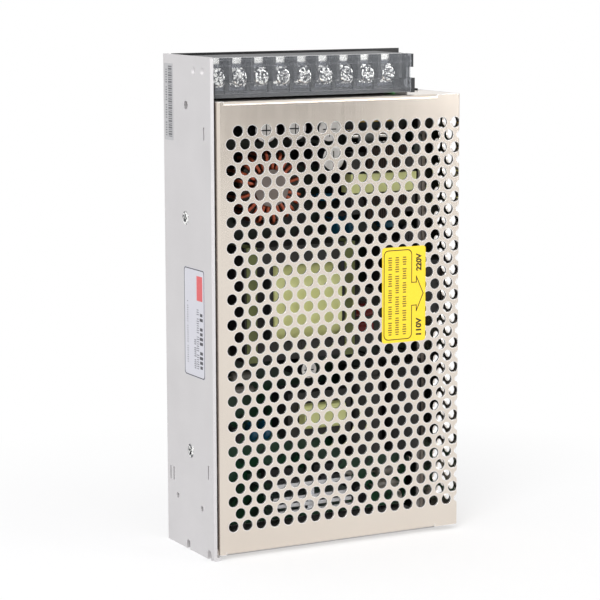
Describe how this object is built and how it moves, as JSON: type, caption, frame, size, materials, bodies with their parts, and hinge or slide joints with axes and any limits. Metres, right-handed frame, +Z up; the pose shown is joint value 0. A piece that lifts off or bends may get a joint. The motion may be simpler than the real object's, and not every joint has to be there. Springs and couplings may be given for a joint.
{
  "type": "mesh case switching power supply",
  "caption": "Metal-cased power supply with a perforated cover, screw terminals under a hinged clear guard at one end, a voltage selector in its side and power circuit parts inside.",
  "frame": {"origin": "centre of the case's outline, on the surface that the case stands on", "axes": "+X to the right across the mesh face, +Y from the mesh face to the back plate, +Z up to the terminal end"},
  "size_m": [0.1128, 0.0446, 0.198],
  "materials": {
    "chassis": "satin",
    "mesh_cover": "bright nickel",
    "cover_screws": "zinc",
    "wall_screws": "zinc",
    "wall_pads": "matte",
    "wall_devices": "matte",
    "clamp_bars": "satin",
    "wall_nuts": "zinc",
    "standoffs": "satin",
    "board_screws": "zinc",
    "insulation_sheet": "satin film",
    "circuit_board": "satin",
    "terminal_block": "satin",
    "terminal_plates": "bright tin",
    "clamp_washers": "bright zinc",
    "terminal_screws": "bright zinc",
    "terminal_cover": "clear plastic",
    "choke_core": "painted",
    "choke_winding": "enamelled copper",
    "choke_foot": "satin",
    "choke_clamp": "satin",
    "transformer_core": "matte",
    "transformer_bobbin": "satin",
    "transformer_coil": "tape",
    "core_tape": "tape",
    "filter_core": "matte",
    "filter_windings": "enamelled copper",
    "filter_tape": "tape",
    "filter_base": "satin",
    "driver_core": "matte",
    "driver_coil": "tape",
    "driver_base": "satin",
    "primary_heatsink": "extruded",
    "sink_devices": "matte",
    "output_capacitors": "sleeve",
    "small_capacitors": "sleeve",
    "bulk_capacitors": "sleeve",
    "capacitor_glue": "silicone",
    "disc_capacitors": "dipped",
    "film_capacitors": "dipped",
    "line_capacitor": "satin",
    "fuse": "glass with metal caps",
    "fuse_clips": "tin",
    "bridge_rectifier": "matte",
    "inrush_thermistor": "dipped",
    "controller_chip": "matte",
    "small_resistors": "coated",
    "selector_body": "satin",
    "selector_slider": "satin",
    "trimmer_body": "satin",
    "trimmer_rotor": "satin",
    "power_lamp": "tinted clear",
    "voltage_label": "matte",
    "rating_label": "satin",
    "bar_label": "satin"
  },
  "bodies": {
    "case": {"chassis": "chassis", "mesh_cover": "mesh_cover", "cover_screws": "cover_screws", "wall_screws": "wall_screws", "wall_pads": "wall_pads", "wall_devices": "wall_devices", "clamp_bars": "clamp_bars", "wall_nuts": "wall_nuts", "standoffs": "standoffs", "board_screws": "board_screws", "insulation_sheet": "insulation_sheet", "circuit_board": "circuit_board", "terminal_block": "terminal_block", "terminal_plates": "terminal_plates", "clamp_washers": "clamp_washers", "terminal_screws": "terminal_screws", "choke_core": "choke_core", "choke_winding": "choke_winding", "choke_foot": "choke_foot", "choke_clamp": "choke_clamp", "transformer_core": "transformer_core", "transformer_bobbin": "transformer_bobbin", "transformer_coil": "transformer_coil", "core_tape": "core_tape", "filter_core": "filter_core", "filter_windings": "filter_windings", "filter_tape": "filter_tape", "filter_base": "filter_base", "driver_core": "driver_core", "driver_coil": "driver_coil", "driver_base": "driver_base", "primary_heatsink": "primary_heatsink", "sink_devices": "sink_devices", "output_capacitors": "output_capacitors", "small_capacitors": "small_capacitors", "bulk_capacitors": "bulk_capacitors", "capacitor_glue": "capacitor_glue", "disc_capacitors": "disc_capacitors", "film_capacitors": "film_capacitors", "line_capacitor": "line_capacitor", "fuse": "fuse", "fuse_clips": "fuse_clips", "bridge_rectifier": "bridge_rectifier", "inrush_thermistor": "inrush_thermistor", "controller_chip": "controller_chip", "small_resistors": "small_resistors", "selector_body": "selector_body", "trimmer_body": "trimmer_body", "power_lamp": "power_lamp", "voltage_label": "voltage_label", "rating_label": "rating_label", "bar_label": "bar_label"},
    "guard": {"terminal_cover": "terminal_cover"},
    "selector": {"selector_slider": "selector_slider"},
    "trimmer": {"trimmer_rotor": "trimmer_rotor"}
  },
  "joints": [
    {"name": "guard_hinge", "type": "hinge", "parent": "case", "child": "guard", "pos_m": [-0.00929, -0.01759, 0.1857], "axis": [1, 0, 0], "range_deg": [0, 90]},
    {"name": "selector_slide", "type": "slide", "parent": "case", "child": "selector", "axis": [0, 0, -1], "range_m": [0, 0.0046]},
    {"name": "trimmer_turn", "type": "hinge", "parent": "case", "child": "trimmer", "pos_m": [0.04231, 0.00641, 0.1918], "axis": [0, -1, 0], "range_deg": [-135, 135]}
  ]
}
